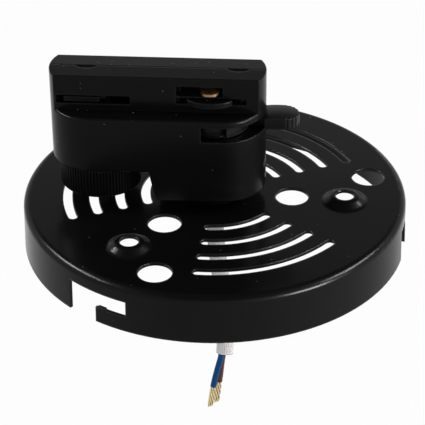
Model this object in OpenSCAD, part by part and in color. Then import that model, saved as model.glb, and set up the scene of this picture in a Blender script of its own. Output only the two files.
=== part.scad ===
// Track light adapter with a round perforated canopy plate and sleeved leads.
// Origin: middle of the stem, on the face that bears on the track. X runs along the track, Z points up.

/* [Body shell] */
// Length of the stadium-shaped body along the track
body_len = 66.6; // [65:0.2:76]
// Width of the body across the track
body_w = 26.8; // [26:0.2:30]
// Depth of the shallow end below the track face
shallow_h = 18.45; // [17.5:0.05:21]
// Depth of the deep end below the track face
deep_h = 28.35; // [27:0.05:33]
// Gap between the knob and the deep end's inner wall
deep_gap = 3.4; // [2.6:0.1:4]
// How far the deep end's inner wall leans over its height
deep_lean = 2; // [0.5:0.1:2.4]
// Wall thickness of the two half shells
wall = 1.8; // [1.5:0.1:2.1]
// Rounding of the body's outer edges
body_edge_r = 0.8; // [0.5:0.05:1]
// Rounding of the stem's edges
edge_r = 0.45; // [0.3:0.05:0.6]

/* [Track stem] */
// Thickness of the stem between the track lips
stem_t = 14.2; // [13.8:0.1:15.4]
// Height of the stem above the track face
stem_h = 11.55; // [11:0.05:12.5]
// Fall of the stem's top from the parting groove to its edges
stem_crown = 0.2; // [0.1:0.05:0.4]
// Wall left beside the rotor inside the stem
stem_wall = 1.4; // [1.1:0.1:1.6]
// Width of the parting groove along the top of the stem
seam_w = 0.3; // [0.2:0.05:0.5]
// Length of the two prying scallops beside the parting groove
scallop_len = 7; // [5:0.2:8]
// Width of a scallop in front of the parting groove
scallop_w = 2; // [1.4:0.1:2.4]

/* [Contact rotor] */
// Distance of the rotor axis from the tip of the deep end
rotor_inset = 16.9; // [16.4:0.1:17.6]
// Radius that the wings and their sweep reach
wing_r = 10.5; // [9.8:0.1:10.9]
// Width of a wing across its flats
wing_w = 13.6; // [12.6:0.1:13.8]
// Height of the wing window in the stem
wing_window_h = 2.1; // [1.9:0.1:2.3]
// Lower edge of the wing window above the track face
wing_window_z = 2.8; // [2.7:0.05:3]
// Lower edge of the contact window above the track face
contact_window_z = 5.35; // [5.3:0.05:5.5]
// Height of the contact window
contact_window_h = 3.25; // [2.8:0.05:3.4]
// Radius that the copper contact tips reach
contact_r = 9.35; // [8.8:0.05:9.6]
// Width of a copper contact
contact_w = 5.4; // [4.6:0.1:5.8]
// Thickness of the contact sheet
contact_t = 0.8; // [0.6:0.1:1]
// Bore of the rotor that the leads rise through
rotor_bore_r = 3.2; // [3:0.1:3.5]

/* [Release lever] */
// Shelf above the lever slot
lip_t = 2.1; // [1.9:0.05:2.4]
// Height of the lever slot
lever_slot_h = 4.9; // [4.5:0.1:5.3]
// Radius of the lever's hub disc
lever_hub_r = 10; // [9.5:0.1:10.6]
// Radius of the pad seen in the slot
lever_pad_r = 12.2; // [11.6:0.1:12.2]
// Width of the thumb grip
thumb_w = 8.9; // [8:0.1:9.4]
// Reach of the thumb grip from the rotor axis
thumb_reach = 27.1; // [25:0.1:30]
// Sideways offset of the thumb grip's rear edge from the rotor axis
thumb_offset = 4.15; // [3.8:0.05:4.6]
// Width of the neck that passes through the slot
neck_w = 4.2; // [3.6:0.1:4.4]
// Number of ridges round the thumb grip
thumb_ridges = 9; // [5:1:12]

/* [Lock knob] */
// Distance of the knob axis from the tip of the shallow end
knob_inset = 14.9; // [14.4:0.1:15.6]
// Diameter over the knob's ridges
knob_d = 25.8; // [24:0.2:27]
// Height of the knob
knob_h = 9.45; // [8.5:0.05:9.6]
// Number of ridges round the knob
knob_ridges = 80; // [60:1:90]
// Depth of the grooves between the ridges
knob_groove = 0.45; // [0.3:0.05:0.6]
// Radius that the lock tongue reaches
tongue_r = 11.9; // [11:0.1:12]
// Lower edge of the tongue slot above the track face
tongue_slot_z = 2.1; // [1.9:0.05:2.4]
// Height of the tongue slot
tongue_slot_h = 2.7; // [2.4:0.1:3]
// Radius of the lock spindle
spindle_r = 4; // [3.6:0.1:4.3]
// Wire diameter of the knob spring
spring_wire = 0.9; // [0.7:0.05:1]
// Number of turns of the knob spring
spring_turns = 5; // [4:1:6]

/* [Canopy plate] */
// Diameter of the plate
plate_d = 120.6; // [116:0.2:130]
// Height of the plate with its skirt
skirt_h = 15.55; // [15:0.05:22]
// How far the skirt flares out over its height
skirt_flare = 0.3; // [0:0.05:0.5]
// Thickness of the sheet
sheet_t = 1; // [0.8:0.05:1.2]
// Outer radius of the bend between face and skirt
bend_r = 2.2; // [1.4:0.1:2.4]
// Distance of the plate axis from the rotor axis
plate_shift = 0.8; // [0:0.1:1]
// Angle of the first ray of holes
ray_angle = -5; // [-10:0.5:10]
// Angle of the outer holes from their ray
outer_angle = 17.9; // [16:0.1:20]
// Diameter of the large holes
hole_d = 10.4; // [9.5:0.1:11]
// Circle radius of the inner large holes
inner_ring = 24.6; // [24:0.1:26]
// Circle radius of the outer large holes
outer_ring = 49.6; // [48.5:0.1:50]
// Circle radius of the screw bosses
boss_ring = 41.2; // [40.5:0.1:42]
// Diameter of the boss holes
boss_hole_d = 5.9; // [4.6:0.1:6.2]
// Diameter of a boss at its foot
boss_foot_d = 15.2; // [14.4:0.1:16.4]
// Diameter of a boss at its top
boss_top_d = 7; // [6.8:0.1:7.6]
// Height of a boss
boss_h = 1.9; // [1.5:0.1:2.2]
// Steepest angle of a boss's flank
boss_slope = 36; // [34:1:40]
// Radius of the innermost vent slot
vent_ring = 21.8; // [21:0.1:23]
// Radial pitch of the vent slots
vent_pitch = 8.2; // [7:0.1:8.3]
// Width of a vent slot
vent_w = 2.9; // [2:0.1:3]
// Half of the angle that a vent slot spans
vent_half = 29.4; // [27:0.1:30]

/* [Bayonet slots] */
// Angle of the slot's entry edge from its ray
bayonet_start = -7.3; // [-8:0.1:-6]
// Angle of the open entry
bayonet_entry = 10.1; // [9:0.1:11]
// Angle of the whole slot
bayonet_span = 20.2; // [19:0.1:22]
// Distance of the slot's upper edge below the plate face
bayonet_top = 5.3; // [4.5:0.1:5.8]
// Height of the closed run of the slot
bayonet_h = 5.1; // [4.3:0.1:5.4]
// Height of the detent at the tip of the hook
bayonet_detent = 0.45; // [0.2:0.05:0.6]

/* [Nipple and fasteners] */
// Outer radius of the hollow threaded nipple
nipple_r = 5; // [4.8:0.05:5.1]
// Bore radius of the nipple
nipple_bore_r = 3.9; // [3.7:0.05:4]
// Length of nipple above the body's floor
nipple_up = 4.6; // [4.2:0.1:5]
// Length of nipple below the canopy nut
nipple_down = 3.2; // [2:0.1:5]
// Height of the collar between body and plate
collar_h = 3.7; // [3.4:0.1:8]
// Outer radius of the collar
collar_r = 8.5; // [7.5:0.1:9]
// Width across the flats of the hexagon nuts
nut_flats = 14; // [13:0.5:15]
// Thickness of the lock nut inside the body
lock_nut_t = 3; // [2.5:0.1:3.4]
// Thickness of the canopy nut
canopy_nut_t = 4; // [3:0.1:5]
// Thickness of the toothed washer
washer_t = 0.8; // [0.6:0.05:1]
// Outer radius of the toothed washer
washer_r = 9; // [8.4:0.1:9.6]
// Number of teeth on the washer
washer_teeth = 12; // [8:1:16]
// Shank radius of the small screws
screw_r = 1.25; // [1.1:0.05:1.4]
// Head radius of the small screws
screw_head_r = 2.4; // [2.2:0.05:2.6]
// Head height of the small screws
screw_head_h = 1.7; // [1.4:0.1:2]

/* [Sleeved leads] */
// Outer radius of the braided sleeve
sleeve_r = 2.8; // [2.7:0.05:3]
// Wall of the braided sleeve
sleeve_wall = 0.25; // [0.2:0.05:0.3]
// Radius of an insulated lead
lead_r = 1.05; // [0.9:0.05:1.05]
// Radius of a bundle of bare strands
strand_r = 0.9; // [0.8:0.05:1]

/* [Hidden] */
$fn = 96;

// Clearances: cut overshoot, seated parts, running shafts, free sweeps
over = 1;
seat_clear = 0.05;
run_clear = 0.1;
sweep_clear = 0.2;
free_clear = 0.4;

// Plan of the body
end_r = body_w / 2;
arc_gap = body_len - body_w;
body_tip = body_len / 2;
knob_x = knob_inset - body_tip;
rotor_x = body_tip - rotor_inset;
plate_x = rotor_x + plate_shift;
deep_start = knob_x + knob_d / 2 + deep_gap;
rib_half = 1.2;
rib_x = deep_start + wall + rib_half;

// Levels of the shell
roof_t = wall;
shelf_z = -lip_t;
slot_floor_z = shelf_z - lever_slot_h;
clip_t = 0.8;
chamber_floor_z = slot_floor_z - clip_t - sweep_clear;
web_z = chamber_floor_z - wall;
deep_floor_z = -deep_h + wall;
shallow_floor_z = -shallow_h + wall;

// Contact rotor
drum_r = stem_t / 2 - stem_wall - run_clear;
drum_top = stem_h - roof_t - sweep_clear;
drum_flat = drum_r * 0.82;
clip_groove_r = drum_flat - 0.5;
wing_z = wing_window_z + sweep_clear;
wing_t = wing_window_h - 2 * sweep_clear;
contact_z = contact_window_z + (contact_window_h - contact_t) / 2;
contact_root = rotor_bore_r + 0.2;
contact_tip_r = 2.2;
leg_t = 0.8;
leg_w = 3;
leg_drop = 4;

// Scallops and windows of the stem, the windows measured along X from the rotor axis
scallop_x = [11.4 - body_tip, body_tip - 8.6];
scallop_depth = 0.4;
scallop_r = pow(scallop_len, 2) / 8 / scallop_w + scallop_w / 2;
window_lead = 10.3;
wing_window_trail = 11.15;
contact_window_trail = 3.9;

// Release lever
lever_t = lever_slot_h - 2 * free_clear;
lever_z = slot_floor_z + free_clear;
neck_half = neck_w / 2;
slot_reach = neck_half + 0.3;
lever_room_r = lever_pad_r + sweep_clear;
thumb_gap_r = body_tip - rotor_x + 0.3;
thumb_end_r = thumb_w / 2;
thumb_y = thumb_offset - thumb_end_r;
thumb_crown = 0.3;
thumb_dome_r = pow(thumb_end_r, 2) / 2 / thumb_crown;
thumb_dome_x = thumb_gap_r + 3.6;
pad_from = -64;
pad_to = -18;

// Lock knob and spindle
knob_z = -shallow_h - sweep_clear - knob_h;
knob_edge = 0.6;
drive_depth = knob_h * 0.55;
drive_flat = spindle_r * 0.75;
spindle_foot_z = -shallow_h - sweep_clear - drive_depth;
tongue_t = tongue_slot_h - 1.1;
tongue_z = tongue_slot_z + 0.5;
tongue_front = stem_t / 2 - 0.3;
tongue_rear = spindle_r + 0.5;
tongue_slot_lead = tongue_r + 0.3;
tongue_slot_trail = tongue_r - 1.5;
pivot_r = spindle_r - 1;
pivot_top = stem_h - roof_t - 1;
collar_t = 1.6;
spring_r = spindle_r + spring_wire / 2 + 0.6;
spring_collar_r = spring_r + spring_wire / 2 + 0.3;
spring_collar_z = shelf_z - collar_t - 0.9;
knob_recess_r = screw_head_r + 1.4;
knob_recess_h = screw_head_h + 1.2;
knob_washer_t = 0.5;
knob_screw_len = drive_depth;

// Canopy plate and the stack on the nipple
plate_z = -deep_h - collar_h;
plate_r = plate_d / 2;
sectors = 3;
vent_rows = 4;
under_z = plate_z - sheet_t;
canopy_nut_z = under_z - washer_t - canopy_nut_t;
nipple_top = deep_floor_z + nipple_up;
nipple_bottom = canopy_nut_z - nipple_down;

// Case screws, as positions [x, z]
screw_near_z = (shelf_z + shallow_floor_z) / 2;
screw_deep_z = (web_z + nipple_top) / 2 - 0.5;
case_screws = [
    [wall + 2.6 - body_tip, screw_near_z],
    [deep_start - rib_half - 2.6, screw_near_z],
    [rib_x + 3.2, screw_deep_z],
    [plate_x + 8.2, screw_deep_z]
];
screw_post_r = screw_head_r + free_clear + 1.2;
screw_seat_y = 7.2;
screw_tip_y = -7.5;

// Routes of the sleeve and the leads, from the plate axis and the plate's upper face
sleeve_route = [
    [0, 0, 10], [0, 0, 2], [0, 0, -6], [0, 0, -12], [0.3, 0, -18], [0.8, 0, -24], [1.4, 0.1, -30],
    [2, 0.1, -36], [2.5, 0.2, -42], [2.9, 0.2, -48], [3.1, 0.2, -54], [3.1, 0.2, -60], [2.9, 0.2, -64.2]
];
blue_route = [
    [-1.1, -1, 32], [-1, -1, 27], [-0.9, -0.9, 22], [-0.8, -0.8, 16], [-0.8, -0.8, 10], [-0.8, -0.8, 2],
    [-0.8, -0.8, -6], [-0.8, -0.8, -12], [-0.5, -0.8, -18], [0, -0.8, -24], [0.6, -0.7, -30],
    [1.2, -0.7, -36], [1.7, -0.6, -42], [2.1, -0.6, -48], [2.3, -0.6, -54], [2.2, -0.6, -60],
    [1.75, -0.65, -64.6], [0.72, -0.9, -69], [-0.15, -1, -73], [-0.85, -1.1, -76.6]
];
brown_route = [
    [-0.5, 1.3, 32], [-0.4, 1.3, 27], [0, 1.2, 22], [0.4, 1.1, 16], [0.4, 1.1, 10], [0.4, 1.1, 2],
    [0.4, 1.1, -6], [0.4, 1.1, -12], [0.7, 1.1, -18], [1.2, 1.1, -24], [1.8, 1.2, -30],
    [2.4, 1.2, -36], [2.9, 1.3, -42], [3.2, 1.3, -48], [3.3, 1.3, -54], [3.2, 1.3, -60],
    [2.3, 1.4, -64.6], [1.75, 1.4, -69], [1.35, 1.4, -73], [1, 1.4, -76.2]
];
blue_strand_route = [[-0.85, -1.1, -76.6], [-1.25, -1.2, -79.6], [-1.6, -1.2, -82.4], [-1.95, -1.3, -85]];
brown_strand_route = [[1, 1.4, -76.2], [0.7, 1.4, -79], [0.35, 1.4, -82], [0, 1.4, -85.1]];

// A quarter arc of points round a corner centre
function quarter(x, z, r, from) = [
    for (i = [0 : 4])
        [x, z] + r * [cos(from + i * 22.5), sin(from + i * 22.5)]
];

// Half section of an upright prism with a rounded foot and top, the top falling towards its edge
function rounded_section(r, z0, z1, foot_r, top_r, fall = 0) = concat(
    [[0, z0]],
    quarter(r - foot_r, z0 + foot_r, foot_r, -90),
    quarter(r - top_r, z1 - fall - top_r, top_r, 0),
    [[0, z1]]
);

// Upright prism with a stadium plan and rounded edges
module stadium(r, gap, z0, z1, foot_r, top_r) {
    section = rounded_section(r, z0, z1, foot_r, top_r);
    for (side = [-1, 1])
        translate([side * gap / 2, 0, 0])
            rotate_extrude()
                polygon(section);
    for (side = [0, 1])
        mirror([0, side, 0])
            rotate([90, 0, 90])
                linear_extrude(gap, center = true)
                    polygon(section);
}

// Upright cylinder between two levels, on a given axis
module post(x, r, z0, z1) {
    translate([x, 0, z0])
        cylinder(r = r, h = z1 - z0);
}

// Box between two corners
module block(low, high) {
    translate(low)
        cube(high - low);
}

// Wedge of a disc between two angles
module wedge(r, from, to, z0, z1) {
    middle = (from + to) / 2;
    translate([0, 0, z0])
        linear_extrude(z1 - z0)
            polygon([[0, 0], for (a = [from, middle, to]) r * [cos(a), sin(a)]]);
}

// Hexagon nut blank with a round hole
module hex_nut(z, t) {
    translate([plate_x, 0, z])
        difference() {
            cylinder(r = nut_flats / sqrt(3), h = t, $fn = 6);
            translate([0, 0, -over])
                cylinder(r = nipple_r + seat_clear, h = t + 2 * over);
        }
}

// One ring of points round a route point
function ring(p, r, sides) = [
    for (i = [0 : sides - 1])
        p + r * [cos(360 * i / sides), sin(360 * i / sides), 0]
];

// Side faces between two stacks of rings, from point index base
function skin(base, rings, sides, flip) = [
    for (k = [0 : rings - 2], i = [0 : sides - 1])
        let (a = base + k * sides + i, b = base + k * sides + (i + 1) % sides)
            flip ? [a, a + sides, b + sides, b] : [a, b, b + sides, a + sides]
];

// Solid cord along a route that runs downward
module cord(route, r, sides) {
    n = len(route);
    last = (n - 1) * sides;
    points = [for (p = route) each ring(p, r, sides)];
    top = [for (i = [0 : sides - 1]) sides - 1 - i];
    foot = [for (i = [0 : sides - 1]) last + i];
    translate([plate_x, 0, plate_z])
        polyhedron(points, concat([top], skin(0, n, sides, false), [foot]));
}

// Hollow sleeve along a route that runs downward
module hollow_cord(route, r_out, r_in, sides) {
    n = len(route);
    inner = n * sides;
    last = (n - 1) * sides;
    points = [for (r = [r_out, r_in], p = route) each ring(p, r, sides)];
    top = [
        for (i = [0 : sides - 1])
            let (j = (i + 1) % sides)
                [j, i, inner + i, inner + j]
    ];
    foot = [
        for (i = [0 : sides - 1])
            let (j = (i + 1) % sides)
                [last + i, last + j, inner + last + j, inner + last + i]
    ];
    translate([plate_x, 0, plate_z])
        polyhedron(points, concat(top, skin(0, n, sides, false), skin(inner, n, sides, true), foot));
}

// Canopy plate: a pressed cup with vents, cable holes, screw bosses and bayonet slots
module plate_corner(r, h, corner) {
    square([r - corner, h]);
    polygon([[0, 0], [r + skirt_flare, 0], [r, h - corner], [0, h - corner]]);
    translate([r - corner, h - corner])
        circle(corner);
}

// Raised screw boss on the plate's face: a flat top, a straight flank and a round at each end of it.
// The foot starts a hair below the face, so that the two surfaces cross and don't just touch.
module boss_form() {
    foot = boss_foot_d / 2;
    top = boss_top_d / 2;
    low = -0.02;
    turn = [sin(boss_slope), cos(boss_slope)];
    flank_r = ((foot - top) * turn[0] - (boss_h - low) * turn[1]) / 2 / (1 - turn[1]);
    foot_centre = [foot, low + flank_r];
    top_centre = [top, boss_h - flank_r];
    rotate_extrude() {
        difference() {
            polygon([
                [0, -sheet_t], [foot, -sheet_t], [foot, low], foot_centre - flank_r * turn,
                top_centre + flank_r * turn, [top, boss_h], [0, boss_h]
            ]);
            translate(foot_centre)
                circle(flank_r);
        }
        intersection() {
            translate(top_centre)
                circle(flank_r);
            polygon([top_centre, top_centre + 2 * flank_r * turn, top_centre + [0, 2 * flank_r]]);
        }
    }
}

module vent(r) {
    cap = asin(vent_w / 2 / r);
    for (side = [-1, 1])
        rotate(side * (vent_half - cap))
            translate([r, 0, -over])
                cylinder(d = vent_w, h = sheet_t + 2 * over, $fn = 24);
    rotate(cap - vent_half)
        rotate_extrude(angle = 2 * (vent_half - cap))
            translate([r - vent_w / 2, -over])
                square([vent_w, sheet_t + 2 * over]);
}

module bayonet_slot() {
    hook_end = bayonet_start + bayonet_entry;
    detent_end = hook_end + 3.4;
    slot_end = bayonet_start + bayonet_span;
    top = -bayonet_top;
    run = top - bayonet_h;
    wedge(plate_d, bayonet_start, hook_end, -skirt_h - over, top);
    wedge(plate_d, bayonet_start, hook_end + 0.8, run, top);
    wedge(plate_d, bayonet_start, detent_end, run + bayonet_detent, top);
    wedge(plate_d, detent_end, slot_end, run, top);
}

module canopy_plate() {
    color("#1c1c1d")
        translate([plate_x, 0, plate_z])
            difference() {
                union() {
                    translate([0, 0, -skirt_h])
                        rotate_extrude()
                            difference() {
                                plate_corner(plate_r, skirt_h, bend_r);
                                translate([0, -over])
                                    plate_corner(
                                        plate_r - sheet_t, skirt_h - sheet_t + over, bend_r - sheet_t
                                    );
                            }
                    for (k = [0 : sectors - 1])
                        rotate(ray_angle + k * 360 / sectors)
                            translate([boss_ring, 0, 0])
                                boss_form();
                }
                translate([0, 0, -sheet_t - over])
                    cylinder(r = nipple_r + run_clear, h = sheet_t + 2 * over);
                for (k = [0 : sectors - 1])
                    rotate(ray_angle + k * 360 / sectors) {
                        translate([inner_ring, 0, -sheet_t - over])
                            cylinder(d = hole_d, h = sheet_t + 2 * over);
                        rotate(outer_angle)
                            translate([outer_ring, 0, -sheet_t - over])
                                cylinder(d = hole_d, h = sheet_t + 2 * over);
                        translate([boss_ring, 0, -sheet_t])
                            boss_form();
                        translate([boss_ring, 0, -over])
                            cylinder(d = boss_hole_d, h = boss_h + 2 * over);
                        rotate(180 / sectors)
                            for (row = [0 : vent_rows - 1])
                                translate([0, 0, -sheet_t])
                                    vent(vent_ring + row * vent_pitch);
                        bayonet_slot();
                    }
            }
}

// Outer form of the body: shallow end, deep end and the stem between the track lips
module body_form() {
    lean_top = -shallow_h + wall;
    lean_low = -deep_h - over;
    lean_rate = deep_lean / (deep_h - shallow_h);
    stadium(end_r, arc_gap, -shallow_h, 0, body_edge_r, body_edge_r);
    intersection() {
        stadium(end_r, arc_gap, -deep_h, -wall, body_edge_r, edge_r);
        rotate([90, 0, 0])
            linear_extrude(2 * body_w, center = true)
                polygon([
                    [deep_start - lean_rate * wall, lean_top], [body_len, lean_top], [body_len, lean_low],
                    [deep_start + deep_lean + lean_rate * over, lean_low]
                ]);
    }
    intersection() {
        stadium(end_r, arc_gap, -wall, stem_h, edge_r, edge_r);
        for (side = [0, 1])
            mirror([0, side, 0])
                rotate([90, 0, 90])
                    linear_extrude(2 * body_len, center = true)
                        polygon(rounded_section(stem_t / 2, -2 * wall, stem_h, edge_r, edge_r, stem_crown));
    }
}

// Openings cut through the stem for the wings and contacts, turned half round for the rear
module rotor_windows() {
    contact_top = contact_window_z + contact_window_h;
    for (turn = [0, 180])
        translate([rotor_x, 0, 0])
            rotate(turn) {
                block([-window_lead, -end_r, wing_window_z],
                    [wing_window_trail, -drum_r, wing_window_z + wing_window_h]);
                block([-window_lead, -end_r, contact_window_z],
                    [contact_window_trail, -stem_t / 4, contact_top]);
                intersection() {
                    post(0, contact_r + free_clear, contact_window_z, contact_top);
                    block([-body_len, -end_r, 0],
                        [contact_window_trail, contact_w / 2 + free_clear, stem_h]);
                }
            }
    post(rotor_x, wing_r + free_clear, wing_window_z, wing_window_z + wing_window_h);
}

// Room for the lever, open to the side through its slot
module lever_room() {
    post(rotor_x, lever_room_r, chamber_floor_z, shelf_z);
    block([rotor_x - slot_reach, -body_w, slot_floor_z], [body_len, slot_reach, shelf_z]);
}

// Room for the lock tongue, open to the front through its slot
module tongue_room() {
    slot_top = tongue_slot_z + tongue_slot_h;
    intersection() {
        post(knob_x, tongue_r + free_clear, tongue_slot_z, slot_top);
        block([-body_len, -body_w, 0], [body_len, tongue_rear + free_clear, stem_h]);
    }
    block([knob_x - tongue_slot_lead, -body_w, tongue_slot_z],
        [knob_x + tongue_slot_trail, -tongue_rear, slot_top]);
}

// Hollow chambers of the two ends, with the screw posts left standing
module chambers() {
    difference() {
        union() {
            intersection() {
                stadium(end_r - wall, arc_gap, shallow_floor_z, shelf_z, edge_r, edge_r);
                block([-body_len, -body_w, -deep_h], [deep_start - rib_half + wall, body_w, 0]);
            }
            intersection() {
                stadium(end_r - wall, arc_gap, deep_floor_z, web_z, edge_r, edge_r);
                block([rib_x, -body_w, -deep_h], [body_len, body_w, 0]);
            }
        }
        for (p = case_screws)
            translate([p[0], 0, p[1]])
                rotate([90, 0, 0])
                    cylinder(r = screw_post_r, h = 2 * body_w, center = true, $fn = 48);
    }
}

// Bores that carry the rotor, the spindle and the nipple
module bearing_bores() {
    post(rotor_x, drum_r + run_clear, web_z - over, stem_h - roof_t);
    post(knob_x, spindle_r + run_clear, -shallow_h - over, tongue_z);
    post(knob_x, pivot_r + run_clear, tongue_slot_z, pivot_top + sweep_clear);
    post(plate_x, nipple_r + seat_clear, -deep_h - over, deep_floor_z + over);
}

// Screw holes: a counterbore from the rear and a pilot hole into the front shell
module screw_holes() {
    for (p = case_screws)
        translate([p[0], 0, p[1]])
            rotate([-90, 0, 0]) {
                translate([0, 0, screw_seat_y])
                    cylinder(r = screw_head_r + free_clear, h = body_w, $fn = 48);
                translate([0, 0, screw_tip_y - sweep_clear])
                    cylinder(r = screw_r + seat_clear, h = body_w, $fn = 48);
            }
}

// Parting groove along the top and ends of the stem, and the prying scallops in front of it
module parting_marks() {
    half = seam_w / 2;
    block([-body_len, -half, stem_h - seam_w], [body_len, half, stem_h + over]);
    for (side = [-1, 1])
        block([side * body_tip - seam_w, -half, 0], [side * body_tip + seam_w, half, stem_h + over]);
    for (x = scallop_x)
        intersection() {
            translate([x, scallop_r - scallop_w, stem_h - scallop_depth])
                cylinder(r = scallop_r, h = stem_h);
            block([-body_len, -body_w, 0], [body_len, 0, 2 * stem_h]);
        }
}

module half_shell(rear) {
    far = rear ? body_w : 0;
    near = rear ? 0 : -body_w;
    difference() {
        intersection() {
            body_form();
            block([-body_len, near, -2 * deep_h], [body_len, far, 2 * stem_h]);
        }
        chambers();
        rotor_windows();
        lever_room();
        tongue_room();
        bearing_bores();
        screw_holes();
        parting_marks();
    }
}

module housing_front() {
    color("#161617")
        half_shell(false);
}

module housing_rear() {
    color("#161617")
        half_shell(true);
}

// Cross-recessed self-tapping screw, head towards +Z
module small_screw(length) {
    recess = screw_head_r * 0.36;
    difference() {
        union() {
            cylinder(r = screw_head_r, h = screw_head_h, $fn = 48);
            translate([0, 0, -length])
                cylinder(r = screw_r, h = length + over / 2, $fn = 48);
        }
        for (turn = [0, 90])
            rotate(turn)
                translate([0, 0, screw_head_h])
                    cube([screw_head_r * 1.3, recess, screw_head_h], center = true);
    }
}

module housing_screws() {
    color("#8e8f92")
        for (p = case_screws)
            translate([p[0], screw_seat_y, p[1]])
                rotate([-90, 0, 0])
                    small_screw(screw_seat_y - screw_tip_y);
}

// Contact rotor: hollow drum with two wings and a keyed foot for the lever
module contact_rotor() {
    color("#1a1a1b")
        translate([rotor_x, 0, 0])
            difference() {
                union() {
                    post(0, drum_r, shelf_z, drum_top);
                    intersection() {
                        post(0, drum_r, web_z, 0);
                        block([-drum_flat, -body_w, -deep_h], [drum_flat, body_w, 0]);
                    }
                    intersection() {
                        post(0, wing_r, wing_z, wing_z + wing_t);
                        block([-wing_w / 2, -body_w, 0], [wing_w / 2, body_w, stem_h]);
                    }
                }
                post(0, rotor_bore_r, web_z - over, contact_z + contact_t + 0.3);
                for (turn = [0, 180])
                    rotate(turn)
                        contact_blank(seat_clear);
                difference() {
                    post(0, drum_r + over, slot_floor_z - clip_t, slot_floor_z);
                    post(0, clip_groove_r, slot_floor_z - body_w, 0);
                }
            }
}

// Copper contact towards the front: a tab with a rounded tip and a leg down the rotor's bore
module contact_blank(grow) {
    half = contact_w / 2 + grow;
    top = contact_z + contact_t + grow;
    low = contact_z - grow;
    block([-half, contact_tip_r - contact_r, low], [half, -contact_root + grow, top]);
    block([-half + contact_tip_r, -contact_r - grow, low], [half - contact_tip_r, -contact_root, top]);
    for (side = [-1, 1])
        translate([side * (half - contact_tip_r), contact_tip_r - contact_r, low])
            cylinder(r = contact_tip_r + grow, h = top - low, $fn = 48);
    block([-leg_w / 2 - grow, -contact_root - leg_t - grow, contact_z - leg_drop - grow],
        [leg_w / 2 + grow, -contact_root + grow, top]);
}

module live_contact() {
    color("#b8763a")
        translate([rotor_x, 0, 0])
            contact_blank(0);
}

module neutral_contact() {
    color("#b8763a")
        translate([rotor_x, 0, 0])
            rotate(180)
                contact_blank(0);
}

// Release lever: hub disc, slot pad, neck and ridged thumb grip
module thumb_plan() {
    difference() {
        union() {
            translate([0, thumb_offset - thumb_w])
                square([thumb_reach - thumb_end_r, thumb_w]);
            translate([thumb_reach - thumb_end_r, thumb_y])
                circle(thumb_end_r);
        }
        circle(thumb_gap_r);
    }
}

module thumb_grip() {
    difference() {
        intersection() {
            translate([0, 0, lever_z])
                linear_extrude(lever_t + over)
                    thumb_plan();
            translate([thumb_dome_x, thumb_y, lever_z + lever_t - thumb_dome_r])
                sphere(thumb_dome_r);
        }
        for (k = [0 : thumb_ridges - 1])
            translate([thumb_reach - thumb_end_r, thumb_y, lever_z - over])
                rotate(-80 + 160 * k / (thumb_ridges - 1))
                    translate([thumb_end_r + 0.1, 0, 0])
                        cylinder(r = 0.35, h = lever_t + 2 * over, $fn = 16);
    }
}

module release_lever() {
    color("#19191a")
        translate([rotor_x, 0, 0]) {
            difference() {
                union() {
                    post(0, lever_hub_r, lever_z, lever_z + lever_t);
                    intersection() {
                        post(0, lever_pad_r, lever_z, lever_z + lever_t);
                        wedge(body_w, pad_from, pad_to, lever_z - over, lever_z + lever_t + over);
                    }
                    block([lever_hub_r - over, -neck_half, lever_z],
                        [thumb_gap_r + 1.2, neck_half, lever_z + lever_t - thumb_crown]);
                }
                intersection() {
                    post(0, drum_r + seat_clear, lever_z - over, lever_z + lever_t + over);
                    block([-drum_flat - seat_clear, -body_w, -deep_h],
                        [drum_flat + seat_clear, body_w, over]);
                }
            }
            thumb_grip();
        }
}

// Open ring that keeps the lever on the rotor's foot
module retaining_clip() {
    color("#77787a")
        translate([rotor_x, 0, slot_floor_z - clip_t + seat_clear])
            difference() {
                cylinder(r = drum_r + 1.6, h = clip_t - 2 * seat_clear);
                translate([0, 0, -over])
                    cylinder(r = clip_groove_r + seat_clear, h = clip_t + 2 * over);
                translate([0, -clip_groove_r * 0.7, -over])
                    cube([body_w, clip_groove_r * 1.4, clip_t + 2 * over]);
            }
}

// Ridged knob under the shallow end, with a recess for its screw
module lock_knob() {
    rim = knob_d / 2;
    root = rim - knob_groove;
    step = 360 / knob_ridges;
    outline = [
        for (k = [0 : knob_ridges - 1], part = [[0, root], [0.3, rim], [0.7, rim]])
            part[1] * [cos(step * (k + part[0])), sin(step * (k + part[0]))]
    ];
    color("#171718")
        translate([knob_x, 0, 0])
            difference() {
                intersection() {
                    translate([0, 0, knob_z])
                        linear_extrude(knob_h)
                            polygon(outline);
                    rotate_extrude()
                        polygon(rounded_section(rim, knob_z, knob_z + knob_h, knob_edge, knob_edge));
                }
                spindle_drive(seat_clear);
                post(0, screw_r + seat_clear, knob_z - over, knob_z + knob_h);
                post(0, knob_recess_r, knob_z - over, knob_z + knob_recess_h);
            }
}

// Flatted foot of the spindle that turns with the knob
module spindle_drive(grow) {
    intersection() {
        post(0, spindle_r + grow, spindle_foot_z - grow, -shallow_h);
        block([-drive_flat - grow, -body_w, -2 * deep_h], [drive_flat + grow, body_w, 0]);
    }
}

// Lock spindle with its tongue, spring collar and top pivot
module lock_spindle() {
    color("#1a1a1b")
        translate([knob_x, 0, 0])
            difference() {
                union() {
                    spindle_drive(0);
                    post(0, spindle_r, -shallow_h, tongue_z);
                    post(0, spring_collar_r, spring_collar_z, spring_collar_z + collar_t);
                    post(0, pivot_r, tongue_z, pivot_top);
                    intersection() {
                        post(0, tongue_r, tongue_z, tongue_z + tongue_t);
                        block([-body_len, -tongue_front, 0], [1, tongue_rear, stem_h]);
                    }
                    post(0, spindle_r, tongue_z, tongue_z + tongue_t);
                }
                post(0, screw_r + seat_clear, spindle_foot_z - over, spindle_foot_z + knob_screw_len);
            }
}

module knob_screw() {
    color("#8e8f92")
        translate([knob_x, 0, knob_z + knob_recess_h - knob_washer_t])
            rotate([180, 0, 0])
                small_screw(knob_screw_len + knob_washer_t + spindle_foot_z - knob_z - knob_recess_h - over);
}

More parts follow.
